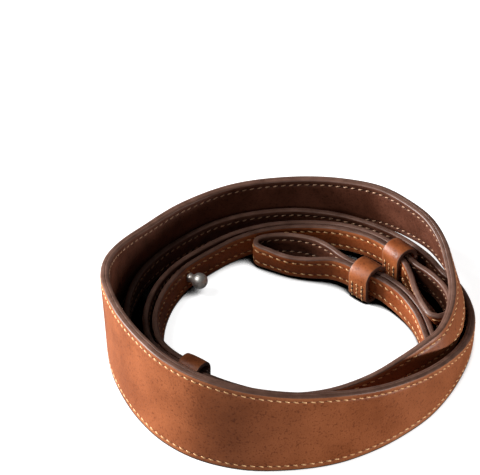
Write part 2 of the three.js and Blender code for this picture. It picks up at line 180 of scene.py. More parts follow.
loop_b_rows = [
    # turn, reach, lift, lean
    (-420, 0.665, 1, 0),
    (-425, 0.682, 1, 0),
    (-432, 0.728, 1, 0),
    (-439, 0.776, 0.8, 0),
    (-448, 0.808, 0.6, 0),
    (-456, 0.816, 0.5, 0),
    (-462, 0.797, 0.5, 0),
    (-463, 0.75, 0.5, 3),
    (-458, 0.688, 0.5, 7),
    (-450, 0.63, 0.5, 10),
    (-440, 0.61, 0.7, 8),
    (-427, 0.632, 1, 1),
]

Station = namedtuple("Station", "place sizes apart name")


def band_station(turn, reach, out, wide, lift, lean, thick, name=""):
    width = strap_width if wide is None else wide * band_width
    thickness = strap_thickness if thick is None else thick * band_thickness
    place = coil_place(turn, reach, out, lift * crossing_lift)
    return Station(place, (width, thickness, lean), 0, name)


def strap_station(turn, reach, lift, lean, apart=0, name=""):
    place = coil_place(turn, reach, 0, lift * keeper_lift)
    return Station(place, (strap_width, strap_thickness, lean), apart, name)


def coil_place(turn, reach, out, height):
    angle = math.radians(-turn)
    radius = coil_radius * reach + band_pitch * out
    return (radius * math.cos(angle), radius * math.sin(angle), height)


def smooth_through(points, shares, is_place):
    """A Catmull-Rom curve at shares of its length, centripetal for places and even for sizes."""
    count = len(points) - 1
    segment = np.minimum((shares * count).astype(int), count - 1)
    t = (shares * count - segment)[:, None]
    ends = (2 * points[:1] - points[1:2], 2 * points[-1:] - points[-2:-1])
    padded = np.concatenate([ends[0], points, ends[1]])
    a, b, c, d = (padded[segment + k] for k in range(4))
    if is_place:
        ab, bc, cd = (np.sqrt(np.linalg.norm(q - p, axis=1, keepdims=True))
                      for p, q in ((a, b), (b, c), (c, d)))
        leave = bc * ((b - a) / ab - (c - a) / (ab + bc) + (c - b) / bc)
        arrive = bc * ((c - b) / bc - (d - b) / (bc + cd) + (d - c) / cd)
    else:
        leave, arrive = (c - a) / 2, (d - b) / 2
    turn_back = 2 * (b - c) + leave + arrive
    ease = 3 * (c - b) - 2 * leave - arrive
    return b + t * leave + t**2 * ease + t**3 * turn_back


def outward_at(places, shares):
    """Level directions to the grain side of a line."""
    step = 1e-4  # share of the line, to either side
    ahead = (smooth_through(places, np.minimum(shares + step, 1), True)
             - smooth_through(places, np.maximum(shares - step, 0), True))
    outward = np.stack([-ahead[:, 1], ahead[:, 0], 0 * shares], axis=1)
    return outward / np.linalg.norm(outward, axis=1, keepdims=True)


def free_run(main):
    """The free run's stations: the main run's in reverse, moved to its lining side."""
    names = [s.name for s in main]
    first, last = sorted((names.index("tail"), names.index("loop keeper")))
    outward = outward_at(np.array([s.place for s in main]), np.linspace(0, 1, len(main)))
    moved = []
    for s, out in zip(main[first:last + 1], outward[first:last + 1]):
        width, thickness, lean = s.sizes
        place = np.array(s.place) - s.apart * pair_pitch * out
        moved.append(Station(tuple(place), (width, thickness, -lean), 0, ""))
    return moved[::-1]


def named_for(prefix, stations):
    return [s._replace(name=f"{prefix} {s.name}") for s in stations]


strap_a_main = [strap_station(*row) for row in strap_a_rows]
strap_b_main = [strap_station(*row) for row in strap_b_rows][::-1]
lay = (
    free_run(strap_b_main)
    + [strap_station(*row) for row in loop_b_rows][::-1]
    + named_for("b", strap_b_main)
    + [band_station(*row) for row in band_rows]
    + named_for("a", strap_a_main)
    + [strap_station(*row) for row in loop_a_rows]
    + free_run(strap_a_main)
)
lay_places = np.array([s.place for s in lay])
lay_sizes = np.array([s.sizes for s in lay])
fine_steps = 9000  # short stretches that the line is measured in
fine_shares = np.linspace(0, 1, fine_steps + 1)
fine_places = smooth_through(lay_places, fine_shares, True)
walked = np.concatenate([[0], np.cumsum(np.linalg.norm(np.diff(fine_places, axis=0), axis=1))])

Sections = namedtuple("Sections", "middle grain up along width thickness")


def sections_at(distances):
    """The strap's cross-sections at distances along its line, in metres from its first end."""
    shares = np.interp(distances, walked, fine_shares)
    width, thickness, lean = smooth_through(lay_sizes, shares, False).T
    lean = np.radians(lean)
    level = outward_at(lay_places, shares)
    along = np.stack([level[:, 1], -level[:, 0], 0 * shares], axis=1)
    up = level * np.sin(lean)[:, None] + np.array([0, 0, 1]) * np.cos(lean)[:, None]
    grain = np.cross(up, along)
    middle = smooth_through(lay_places, shares, True) + coil_shift
    high = width * np.cos(lean) + thickness * np.abs(np.sin(lean))
    middle[:, 2] = np.maximum(0, middle[:, 2]) + high / 2
    return Sections(middle, grain, up, along, width, thickness)


def distance_to(name):
    index = [s.name for s in lay].index(name)
    return np.interp(index / (len(lay) - 1), fine_shares, walked)


# Neck band, grain leather and lining.
# A long lens-shaped band of waxed pull-up cowhide on a thin lining. The two are glued, sewn along
# both edges with a saddle stitch, and their cut edges are rounded, painted and burnished.
section_step = 1.2 * mm  # from one section of the mesh to the next
rim_radius = 0.75 * mm  # rounding between the face and the painted edge
rim_dome = 0.3 * mm  # height of the painted edge over its corners
face_crown = 0.2 * mm  # swelling of the grain face between its edges
crown_reach = 4 * mm  # from an edge to the full swelling
stitch_inset = 2.4 * mm
stitch_groove = 0.28 * mm  # depth of the line that the thread is pulled into
groove_reach = 0.5 * mm
stitch_pitch = 3.3 * mm
stitch_length = 2.3 * mm
stitch_slant = 0.3 * mm  # half the height between the two ends of a stitch
stitch_steps = np.array([-0.5, -0.36, 0, 0.36, 0.5])  # shares of stitch_length from its middle
stitch_lifts = np.array([-0.4, 0, 0.12, 0, -0.4]) * mm  # over the bottom of the groove
thread_radius = 0.3 * mm
thread_radii = thread_radius * np.array([0.5, 0.9, 1, 0.9, 0.5])  # from end to end of a stitch
thread_rounds = np.radians(np.arange(0, 360, 60))
hole_radius = 0.5 * mm
# Painted shade: each needle hole is a near-black disc laid just over the leather, in place of the
# shade inside the hole.
hole_lift = 0.03 * mm  # the dark of a hole is drawn this far over the leather
hole_rounds = np.radians(np.arange(0, 360, 45))
rub_reach = 3 * mm  # from an edge to where handling no longer rubs it
face_insets = np.array([1.25, 1.7, 2.05, 2.4, 2.75, 3.1, 3.6]) * mm
face_shares = np.array([0.25, 0.5, 0.75, 1])  # of the way from there to the middle of the face
grain_side, lining_side = 1, -1


class Piece:
    """Collects the points and faces of one piece, with the finish of each face."""

    def __init__(self):
        self.points, self.faces, self.finishes, self.rubs = [], [], [], []
        self.count = 0

    def add(self, points, faces, finish, rub=0.0):
        points = np.asarray(points).reshape(-1, 3)
        self.points.append(points)
        self.faces += (np.asarray(faces) + self.count).tolist()
        self.finishes.append(np.broadcast_to(finish, len(faces)))
        self.rubs.append(np.broadcast_to(rub, len(points)))
        self.count += len(points)

    def build(self, name, materials, node):
        """Makes the mesh, which takes the place of the part's node."""
        mesh = bpy.data.meshes.new(name)
        mesh.from_pydata(np.concatenate(self.points).tolist(), [], self.faces)
        for material in materials:
            mesh.materials.append(material)
        mesh.polygons.foreach_set("material_index", np.concatenate(self.finishes).astype(np.int32))
        rub = mesh.attributes.new("rub", "FLOAT", "POINT")
        rub.data.foreach_set("value", np.concatenate(self.rubs).astype(np.float32))
        mesh.shade_smooth()
        mesh.update()
        piece = bpy.data.objects.new(name, mesh)
        bpy.context.scene.collection.objects.link(piece)
        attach(piece, "root")
        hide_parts(node)


def grid_faces(rows, columns, is_closed, is_flipped):
    """Quads over a grid of points, joined round its columns where it is closed."""
    row = np.arange(rows - 1)[:, None] * columns
    column = np.arange(columns if is_closed else columns - 1)[None]
    beside = (column + 1) % columns
    corners = [row + column, row + beside, row + columns + beside, row + columns + column]
    faces = np.stack(corners, axis=-1).reshape(-1, 4)
    return faces[:, ::-1] if is_flipped else faces


def layer_outline(width, thickness, side):
    """Half of a layer's outline, from the split at the top over the rim to mid-face.

    Gives how far across and how high each point is.
    """
    half, outer = width[:, None] / 2, side * thickness[:, None] / 2
    split = thickness[:, None] * (0.5 - leather_share)
    corner = outer - side * rim_radius
    across_rim = split + (corner - split) * np.array([0, 0.35, 0.7])
    dome = half + rim_dome * (0.5 - (2 * across_rim / thickness[:, None]) ** 2)
    corner_dome = rim_dome * (0.5 - (2 * corner / thickness[:, None]) ** 2)
    bends = np.radians([0, 22, 45, 68, 90])
    across_bend = corner + side * rim_radius * np.sin(bends)
    high_bend = half + corner_dome - rim_radius * (1 - np.cos(bends))
    rest = half - face_insets[-1]
    insets = np.concatenate([np.broadcast_to(face_insets, (len(width), len(face_insets))),
                             face_insets[-1] + rest * face_shares], axis=1)
    across_face = outer + side * face_level(insets, side)
    across = np.concatenate([across_rim, across_bend, across_face], axis=1)
    high = np.concatenate([dome, high_bend, half - insets], axis=1)
    return across, high


def face_level(insets, side):
    """How far a face stands out at distances from its edge: its swelling less the sewn groove."""
    groove = stitch_groove * np.exp(-((insets - stitch_inset) / groove_reach) ** 2)
    swelling = face_crown * (1 - np.clip(1 - insets / crown_reach, 0, 1) ** 2)
    return swelling * (side == grain_side) - groove


def add_layer(piece, start, end, side):
    """One layer of the strap: its face, its painted rims and its hidden split side."""
    count = round((end - start) / section_step)
    s = sections_at(np.linspace(start, end, count + 1))
    across, high = layer_outline(s.width, s.thickness, side)
    across = np.concatenate([across, across[:, -2::-1]], axis=1)
    high = np.concatenate([high, -high[:, -2::-1]], axis=1)
    points = (s.middle[:, None] + s.grain[:, None] * across[..., None]
              + s.up[:, None] * high[..., None])
    columns = across.shape[1]
    rim_faces = 6  # from the split to just past the corner
    finish = np.full(columns, face_finish)
    finish[:rim_faces] = rim_finish
    finish[-rim_faces - 1:] = rim_finish
    from_edge = s.width[:, None] / 2 - np.abs(high)
    rub = np.clip(1 - from_edge / rub_reach, 0, 1)
    faces = grid_faces(len(points), columns, True, side == grain_side)
    piece.add(points, faces, np.tile(finish, len(points) - 1), rub.reshape(-1))
    for ring in (points[0], points[-1]):
        middle = ring.mean(axis=0)
        fan = [(k, (k + 1) % columns, columns) for k in range(columns)]
        piece.add(np.vstack([ring, middle]), fan, rim_finish, 0.5)


def rings(one, other, turns):
    """Unit rings round each point, in the plane of two directions."""
    return one[:, None] * np.cos(turns)[:, None] + other[:, None] * np.sin(turns)[:, None]


def add_stitches(piece, start, end, side):
    """Two rows of slanted stitches on one face, each lying between two needle holes."""
    count = int((end - start - stitch_pitch) / stitch_pitch)
    first = start + (end - start - count * stitch_pitch) / 2
    centres = first + stitch_pitch * np.arange(count + 1)
    seam = face_level(stitch_inset, side)
    s = sections_at((centres[:, None] + stitch_steps * stitch_length).reshape(-1))
    slants = np.tile(2 * stitch_steps * stitch_slant, len(centres))
    lift = np.tile(stitch_lifts + seam, len(centres))
    radius = np.tile(thread_radii, len(centres))[:, None, None]
    quads = grid_faces(len(stitch_steps), len(thread_rounds), True, True)
    points_each = len(stitch_steps) * len(thread_rounds)
    offsets = np.arange(len(centres))[:, None, None] * points_each
    for edge in (1, -1):
        high = edge * (s.width / 2 - stitch_inset) + slants
        across = side * (s.thickness / 2 + lift)
        spine = s.middle + s.up * high[:, None] + s.grain * across[:, None]
        points = spine[:, None] + radius * rings(s.up, s.grain, thread_rounds)
        piece.add(points, (quads[None] + offsets).reshape(-1, 4), thread_finish)
    # Painted shade: a near-black disc at each needle hole between the stitches.
    holes = centres[:-1] + stitch_pitch / 2
    s = sections_at(holes)
    fan = np.arange(len(hole_rounds))[None, ::-1 if side > 0 else 1]
    offsets = np.arange(len(holes))[:, None] * len(hole_rounds)
    for edge in (1, -1):
        high = edge * (s.width / 2 - stitch_inset)
        across = side * (s.thickness / 2 + seam + hole_lift)
        centre = s.middle + s.up * high[:, None] + s.grain * across[:, None]
        points = centre[:, None] + hole_radius * rings(s.up, s.along, hole_rounds)
        piece.add(points, fan + offsets, hole_shade_finish)


def new_material(name):
    """A new material, its node tree and its shader."""
    material = bpy.data.materials.new(name)
    material.use_nodes = True
    return material, material.node_tree, material.node_tree.nodes["Principled BSDF"]


def add_node(tree, kind, inputs=None, **settings):
    """A node with its settings, its values and its links from other nodes' outputs."""
    node = tree.nodes.new(kind)
    for key, value in settings.items():
        setattr(node, key, value)
    for key, value in (inputs or {}).items():
        if isinstance(value, bpy.types.NodeSocket):
            tree.links.new(value, node.inputs[key])
        else:
            node.inputs[key].default_value = value
    return node


def new_group(name, inputs, outputs):
    """An empty node group. inputs and outputs name each socket with its kind and value."""
    tree = bpy.data.node_groups.new(name, "ShaderNodeTree")
    for socket, (kind, value) in inputs.items():
        made = tree.interface.new_socket(socket, in_out="INPUT", socket_type=f"NodeSocket{kind}")
        made.default_value = value
    for socket, kind in outputs.items():
        tree.interface.new_socket(socket, in_out="OUTPUT", socket_type=f"NodeSocket{kind}")
    return tree, tree.nodes.new("NodeGroupInput"), tree.nodes.new("NodeGroupOutput")


relief_depth = 0.1 * mm  # of the fine relief of leather, paint, thread and metal
pore_drift = 0.7 * mm  # by which the pores stray from an even spread
no_pore, full_pore = 0.55, 0.1  # shares of the grain's height between which a pore darkens


def make_leather_grain():
    """Pores and fine wrinkles of the hide, as a height, and its cloudy tone."""
    tree, given, out = new_group(
        "leather_grain",
        {"Pore size": ("Float", 0.8 * mm), "Cloud size": ("Float", 14 * mm)},
        {"Height": "Float", "Cloud": "Float", "Pores": "Float"},
    )
    place = add_node(tree, "ShaderNodeTexCoord").outputs["Object"]
    fineness = add_node(tree, "ShaderNodeMath", {0: 1.0, 1: given.outputs["Pore size"]},
                        operation="DIVIDE").outputs[0]
    cloudiness = add_node(tree, "ShaderNodeMath", {0: 1.0, 1: given.outputs["Cloud size"]},
                          operation="DIVIDE").outputs[0]
    warp = add_node(tree, "ShaderNodeTexNoise",
                    {"Vector": place, "Scale": fineness, "Detail": 2.0}).outputs["Color"]
    bent = add_node(tree, "ShaderNodeVectorMath", {0: warp, 1: (pore_drift,) * 3, 2: place},
                    operation="MULTIPLY_ADD").outputs["Vector"]
    cells = add_node(tree, "ShaderNodeTexVoronoi", {"Vector": bent, "Scale": fineness},
                     feature="SMOOTH_F1").outputs["Distance"]
    wrinkle = add_node(tree, "ShaderNodeTexNoise",
                       {"Vector": place, "Scale": fineness, "Detail": 5.0, "Roughness": 0.65}
                       ).outputs["Fac"]
    height = add_node(tree, "ShaderNodeMath", {0: cells, 1: -0.7, 2: wrinkle},
                      operation="MULTIPLY_ADD").outputs[0]
    pores = add_node(tree, "ShaderNodeMapRange",
                     {"Value": height, "From Min": -0.1, "From Max": 0.35}).outputs["Result"]
    cloud = add_node(tree, "ShaderNodeTexNoise",
                     {"Vector": place, "Scale": cloudiness, "Detail": 6.0, "Roughness": 0.62}
                     ).outputs["Fac"]
    tree.links.new(height, out.inputs["Height"])
    tree.links.new(cloud, out.inputs["Cloud"])
    tree.links.new(pores, out.inputs["Pores"])
    return tree


leather_grain = make_leather_grain()


def tone(tree, low, high, amount):
    """A colour between two, by an amount from 0 to 1."""
    mix = add_node(tree, "ShaderNodeMix", {"Factor": amount}, data_type="RGBA")
    for socket, colour in ((mix.inputs[6], low), (mix.inputs[7], high)):
        if isinstance(colour, bpy.types.NodeSocket):
            tree.links.new(colour, socket)
        else:
            socket.default_value = (*colour, 1)
    return mix.outputs[2]


def band_of(tree, value, low, high):
    return add_node(tree, "ShaderNodeMapRange",
                    {"Value": value, "From Min": low, "From Max": high}).outputs["Result"]


def make_leather(name, deep, warm, worn, pore_size, cloud_size, relief, roughness, gloss):
    """A hide clouded from deep to warm, darker in its pores and worn along its rubbed edges."""
    material, tree, shader = new_material(name)
    grain = add_node(tree, "ShaderNodeGroup", node_tree=leather_grain)
    grain.inputs["Pore size"].default_value = pore_size
    grain.inputs["Cloud size"].default_value = cloud_size
    cloud = band_of(tree, grain.outputs["Cloud"], 0.36, 0.64)
    colour = tone(tree, deep, warm, cloud)
    in_pores = band_of(tree, grain.outputs["Pores"], no_pore, full_pore)
    shade = tone(tree, (1, 1, 1), (0.62, 0.55, 0.5), in_pores)
    colour = add_node(tree, "ShaderNodeMix", {0: 1.0, 6: colour, 7: shade},
                      data_type="RGBA", blend_type="MULTIPLY").outputs[2]
    rub = add_node(tree, "ShaderNodeAttribute", attribute_name="rub").outputs["Fac"]
    patchy = add_node(tree, "ShaderNodeMath", {0: rub, 1: cloud}, operation="MULTIPLY").outputs[0]
    colour = tone(tree, colour, worn, patchy)
    tree.links.new(colour, shader.inputs["Base Color"])
    uneven = add_node(tree, "ShaderNodeMapRange",
                      {"Value": grain.outputs["Cloud"], "From Min": 0.3, "From Max": 0.7,
                       "To Min": roughness - 0.06, "To Max": roughness + 0.08}).outputs["Result"]
    tree.links.new(uneven, shader.inputs["Roughness"])
    bump = add_node(tree, "ShaderNodeBump",
                    {"Height": grain.outputs["Height"], "Strength": relief, "Distance": relief_depth})
    tree.links.new(bump.outputs["Normal"], shader.inputs["Normal"])
    shader.inputs["Specular IOR Level"].default_value = gloss
    return material


pull_up_leather = make_leather(
    "pull_up_leather", deep=(0.225, 0.062, 0.02), warm=(0.32, 0.095, 0.033),
    worn=(0.38, 0.14, 0.055), pore_size=0.75 * mm, cloud_size=22 * mm,
    relief=0.55, roughness=0.42, gloss=0.25,
)
lining_leather = make_leather(
    "lining_leather", deep=(0.056, 0.0165, 0.008), warm=(0.092, 0.029, 0.015),
    worn=(0.09, 0.036, 0.022), pore_size=0.8 * mm, cloud_size=9 * mm,
    relief=1.0, roughness=0.5, gloss=0.14,
)


def make_edge_paint():
    """Mauve-brown edge paint, a little cloudy, burnished to a soft sheen."""
    material, tree, shader = new_material("edge_paint")
    grain = add_node(tree, "ShaderNodeGroup", node_tree=leather_grain)
    grain.inputs["Pore size"].default_value = 1.4 * mm
    grain.inputs["Cloud size"].default_value = 6 * mm
    cloud = band_of(tree, grain.outputs["Cloud"], 0.35, 0.65)
    colour = tone(tree, (0.085, 0.040, 0.027), (0.15, 0.077, 0.055), cloud)
    tree.links.new(colour, shader.inputs["Base Color"])
    shader.inputs["Roughness"].default_value = 0.42
    shader.inputs["Specular IOR Level"].default_value = 0.25
    bump = add_node(tree, "ShaderNodeBump",
                    {"Height": grain.outputs["Height"], "Strength": 0.3, "Distance": relief_depth})
    tree.links.new(bump.outputs["Normal"], shader.inputs["Normal"])
    return material


def make_thread(name, dark, light):
    """Waxed thread, flecked and roughened by its twist."""
    material, tree, shader = new_material(name)
    place = add_node(tree, "ShaderNodeTexCoord").outputs["Object"]
    twist = add_node(tree, "ShaderNodeTexNoise", {"Vector": place, "Scale": 1 / (0.35 * mm)}
                     ).outputs["Fac"]
    colour = tone(tree, dark, light, band_of(tree, twist, 0.35, 0.65))
    tree.links.new(colour, shader.inputs["Base Color"])
    shader.inputs["Roughness"].default_value = 0.5
    bump = add_node(tree, "ShaderNodeBump",
                    {"Height": twist, "Strength": 0.5, "Distance": relief_depth})
    tree.links.new(bump.outputs["Normal"], shader.inputs["Normal"])
    return material


def make_painted_hole_shade():
    """Painted shade for the dark inside of a needle hole."""
    material, tree, shader = new_material("painted_hole_shade")
    place = add_node(tree, "ShaderNodeTexCoord").outputs["Object"]
    depth = add_node(tree, "ShaderNodeTexNoise", {"Vector": place, "Scale": 1 / (0.5 * mm)}
                     ).outputs["Fac"]
    colour = tone(tree, (0.006, 0.003, 0.002), (0.03, 0.012, 0.007), depth)
    tree.links.new(colour, shader.inputs["Base Color"])
    shader.inputs["Roughness"].default_value = 0.8
    return material


edge_paint = make_edge_paint()
tan_thread = make_thread("tan_thread", (0.55, 0.27, 0.1), (0.95, 0.6, 0.3))
brown_thread = make_thread("brown_thread", (0.22, 0.11, 0.055), (0.42, 0.24, 0.14))
painted_hole_shade = make_painted_hole_shade()
face_finish, rim_finish, thread_finish, hole_shade_finish = range(4)
band_finishes = [pull_up_leather, edge_paint, tan_thread, painted_hole_shade]
lining_finishes = [lining_leather, edge_paint, brown_thread, painted_hole_shade]


def sewn_layer(node, start, end, side, finishes):
    """One layer and its stitches, between two distances along the strap."""
    piece = Piece()
    add_layer(piece, start, end, side)
    add_stitches(piece, start, end, side)
    piece.build(f"{node}_dressed", finishes, node)


outer_end, inner_end = distance_to("outer end"), distance_to("inner end")
sewn_layer("neck_band_leather", outer_end, inner_end, grain_side, band_finishes)
sewn_layer("neck_band_lining", outer_end, inner_end, lining_side, lining_finishes)

# Narrow straps A and B, grain leather and lining.
# Two long tapes, redder than the band and sewn on at its ends. Each turns back round the place of
# a camera's lug, and its free end lies on its own main run, lining to lining.
strap_leather = make_leather(
    "strap_leather", deep=(0.21, 0.048, 0.012), warm=(0.3, 0.075, 0.021),
    worn=(0.36, 0.115, 0.04), pore_size=0.75 * mm, cloud_size=16 * mm,
    relief=0.6, roughness=0.42, gloss=0.2,
)
strap_finishes = [strap_leather, edge_paint, tan_thread, painted_hole_shade]
sewn_layer("strap_a_leather", inner_end, walked[-1], grain_side, strap_finishes)
sewn_layer("strap_a_lining", inner_end, walked[-1], lining_side, lining_finishes)
sewn_layer("strap_b_leather", 0, outer_end, grain_side, strap_finishes)
sewn_layer("strap_b_lining", 0, outer_end, lining_side, lining_finishes)

# Keepers.
# Four short bands of leather, bent round both runs of a strap. A keeper's ends meet low on its
# face to the inside of the coil, and are sewn down with three columns of stitches.
keeper_length = 10 * mm
keeper_rounding = 3.4 * mm  # outside, at its lower corners
keeper_flat = 0.4 * mm  # half the flat stretch on top, between its upper corners
keeper_headroom = 1.4 * mm  # room above the two runs, beyond the clearance
keeper_ease = 1.1 * mm  # room beside the two runs
skewed_ease = 1.9 * mm  # the same in keeper_b_loop, which has turned on its strap
keeper_skew = 7  # degrees that it has turned
keeper_swell = 0.2 * mm  # of the outer face, halfway between its cut edges
keeper_edge = 0.35 * mm  # rounding of the cut edges
keeper_wear = 6  # the higher, the nearer to its cut edges a keeper's wear stays
closing_columns = np.array([-2.7, 0, 2.7]) * mm  # columns of stitches, along the strap
closing_start = -0.9 * mm  # the first stitch of a column, below the middle of the face
closing_count = 4
closing_pitch = 2.1 * mm
closing_length = 1.6 * mm
closing_slant = 0.5 * mm  # between the two ends of a stitch
closing_steps = np.array([-0.5, -0.3, 0, 0.3, 0.5])  # shares of closing_length from its middle
closing_lifts = np.array([-0.35, 0.05, 0.15, 0.05, -0.35]) * mm
closing_swell = 0.8 * keeper_swell  # of the face, where the columns are
Pair = namedtuple("Pair", "middle grain up along gap")


def pair_at(name):
    """The place between the main run and the free run at a named station."""
    s = sections_at(np.array([distance_to(name)]))
    gap = next(station.apart for station in lay if station.name == name) * pair_pitch
    middle = s.middle[0] - s.grain[0] * gap / 2
    return Pair(middle, s.grain[0], s.up[0], s.along[0], gap)


def laid_in(pair, points):
    """Points drawn with x to the grain side, y up and z along, in their place."""
    return pair.middle + points @ np.array([pair.grain, pair.up, pair.along])


def skewed(pair, degrees_turned):
    """A pair's frame turned about its upright axis, anticlockwise from above."""
    turn = math.radians(degrees_turned)
    grain = pair.grain * math.cos(turn) + np.cross(pair.up, pair.grain) * math.sin(turn)
    along = pair.along * math.cos(turn) + np.cross(pair.up, pair.along) * math.sin(turn)
    return pair._replace(grain=grain, along=along)


def keeper_outline(half_across):
    """Points round a keeper's hole, arched above and tighter below, and outward directions."""
    arch, foot = half_across - keeper_flat, keeper_rounding - keeper_wall
    low = strap_width / 2 + clearance
    upper = low + keeper_headroom - arch
    corners = ((keeper_flat, upper, arch), (-keeper_flat, upper, arch),
               (foot - half_across, foot - low, foot), (half_across - foot, foot - low, foot))
    points, outwards = [], []
    for quarter, (x, y, radius) in enumerate(corners):
        for turn in np.linspace(0, 90, 11):
            angle = math.radians(90 * quarter + turn)
            outwards.append((math.cos(angle), math.sin(angle)))
            points.append(np.array([x, y]) + radius * np.array(outwards[-1]))
        following = corners[(quarter + 1) % 4]
        begin, end = points[-1], np.array(following[:2]) + following[2] * np.array(outwards[-1])
        for share in (0.1, 0.5, 0.9):
            points.append(begin * (1 - share) + end * share)
            outwards.append(outwards[-1])
    return np.array(points), np.array(outwards)


def keeper_profile():
    """The wall's section, as distances out from the hole and places along the strap."""
    half, edge = keeper_length / 2, keeper_edge
    bends = np.radians([0, 30, 60, 90])
    quarter = np.stack([edge * np.sin(bends), edge * (1 - np.cos(bends))], axis=1)
    start = [(edge - a, half - b) for a, b in quarter[::-1]]
    end = [(keeper_wall - edge + a, half - b) for a, b in quarter]
    face = [(keeper_wall + keeper_swell * (1 - share**2), (half - edge) * share)
            for share in (0.75, 0.5, 0.25, 0)]
    upper = [(0, 0)] + start + end + face
    return np.array(upper + [(depth, -z) for depth, z in upper[:0:-1]][1:])


def keeper(name, node, ease=keeper_ease, skew=0):
    """A keeper round both runs at a named station, with its ease beside them and its skew."""
    pair = skewed(pair_at(name), skew)
    half_across = (pair.gap + strap_thickness) / 2 + ease
    points, outwards = keeper_outline(half_across)
    depth, z = keeper_profile().T
    xy = points[:, None] + outwards[:, None] * depth[None, :, None]
    drawn = np.concatenate([xy, np.broadcast_to(z, xy.shape[:2])[..., None]], axis=2)
    rows, columns = drawn.shape[:2]
    faces = grid_faces(rows + 1, columns, True, False) % (rows * columns)
    middle = (z + np.roll(z, -1)) / 2
    finish = np.where(np.abs(middle) > keeper_length / 2 - keeper_edge, rim_finish, face_finish)
    rub = np.tile(np.abs(z / z.max()) ** keeper_wear, rows)
    piece = Piece()
    piece.add(laid_in(pair, drawn.reshape(-1, 3)), faces, np.tile(finish, rows), rub)
    add_keeper_stitches(piece, pair, half_across)
    piece.build(f"{node}_dressed", keeper_finishes, node)


def add_keeper_stitches(piece, pair, half_across):
    """Three short columns of stitches that close the keeper, low on its inward face.

    A column runs down the flat of the face and round the lower corner.
    """
    foot = keeper_rounding - keeper_wall
    x, y = half_across - foot, strap_width / 2 + clearance - foot

    def on_face(down, lift):
        """Points on the face, by the distance that they lie below its middle."""
        angle = np.clip(down - y, 0, None) / keeper_rounding
        reach = keeper_rounding + closing_swell + lift
        return -x - reach * np.cos(angle), -np.minimum(down, y) - reach * np.sin(angle)

    radii = thread_radii[:, None, None]
    ring = np.stack([np.cos(thread_rounds), 0 * thread_rounds, np.sin(thread_rounds)], axis=1)
    faces = grid_faces(len(closing_steps), len(thread_rounds), True, False)
    for z in closing_columns:
        for down in closing_start + closing_pitch * np.arange(closing_count):
            face = on_face(down + closing_steps * closing_length, closing_lifts)
            spine = np.stack([*face, z + closing_steps * closing_slant], axis=1)
            tube = laid_in(pair, (spine[:, None] + radii * ring).reshape(-1, 3))
            piece.add(tube, faces, thread_finish)
            # Painted shade: a near-black disc at each needle hole of the column.
            face = on_face(down + closing_pitch / 2 + hole_radius * np.cos(hole_rounds), hole_lift)
            disc = np.stack([*face, z + hole_radius * np.sin(hole_rounds)], axis=1)
            piece.add(laid_in(pair, disc), [tuple(range(len(hole_rounds)))], hole_shade_finish)


keeper_leather = make_leather(
    "keeper_leather", deep=(0.17, 0.042, 0.011), warm=(0.3, 0.083, 0.023),
    worn=(0.36, 0.13, 0.05), pore_size=0.7 * mm, cloud_size=8 * mm,
    relief=0.6, roughness=0.42, gloss=0.25,
)
keeper_finishes = [keeper_leather, edge_paint, tan_thread, painted_hole_shade]
keeper("a loop keeper", "keeper_a_loop")
keeper("a tail keeper", "keeper_a_tail")
keeper("b loop keeper", "keeper_b_loop", skewed_ease, -keeper_skew)
keeper("b tail keeper", "keeper_b_tail")

# Ball studs.
# A turned ball on a short neck, of nickel-plated steel that has dulled a little, is screwed from
# the other face through both runs of each strap. The screw's head is flat.
ball_diameter = 6.6 * mm
post_diameter = 3 * mm
head_diameter = 7 * mm
head_thickness = 0.9 * mm
neck_diameter = 3.3 * mm
neck_length = 2.2 * mm
neck_flare = 0.35 * mm  # by which the neck widens towards the leather
flare_share = 0.35  # of the neck's length that flares
head_rounding = 0.3 * mm
pole_radius = 0.02 * mm  # of the smallest ring at each end of a turned shape
turned_sides = 40
ball_rings = 22
ball_cap = 0.12  # radians from the ball's pole to its first ring


def make_nickel():
    """Aged nickel plate, with dull spots."""
    material, tree, shader = new_material("aged_nickel")
    place = add_node(tree, "ShaderNodeTexCoord").outputs["Object"]
    spots = add_node(tree, "ShaderNodeTexNoise",
                     {"Vector": place, "Scale": 1 / (1.2 * mm), "Detail": 6.0}).outputs["Fac"]
    dull = band_of(tree, spots, 0.45, 0.7)
    colour = tone(tree, (0.98, 0.95, 0.9), (0.62, 0.58, 0.52), dull)
    tree.links.new(colour, shader.inputs["Base Color"])
    shader.inputs["Metallic"].default_value = 1
    rough = add_node(tree, "ShaderNodeMapRange", {"Value": dull, "To Min": 0.45, "To Max": 0.6}
                     ).outputs["Result"]
    tree.links.new(rough, shader.inputs["Roughness"])
    bump = add_node(tree, "ShaderNodeBump",
                    {"Height": spots, "Strength": 0.12, "Distance": relief_depth})
    tree.links.new(bump.outputs["Normal"], shader.inputs["Normal"])
    return material


aged_nickel = make_nickel()


def build_turned(node, pair, profile):
    """A piece turned about the stud's axis. profile: radius and place along the axis."""
    radius, x = np.array(profile).T
    angles = np.linspace(0, 2 * math.pi, turned_sides, endpoint=False)
    drawn = np.stack([np.broadcast_to(x[:, None], (len(x), turned_sides)),
                      radius[:, None] * np.cos(angles), radius[:, None] * np.sin(angles)], axis=2)
    piece = Piece()
    faces = grid_faces(len(x), turned_sides, True, False)
    piece.add(laid_in(pair, drawn.reshape(-1, 3)), faces, face_finish)
    piece.build(f"{node}_dressed", [aged_nickel], node)


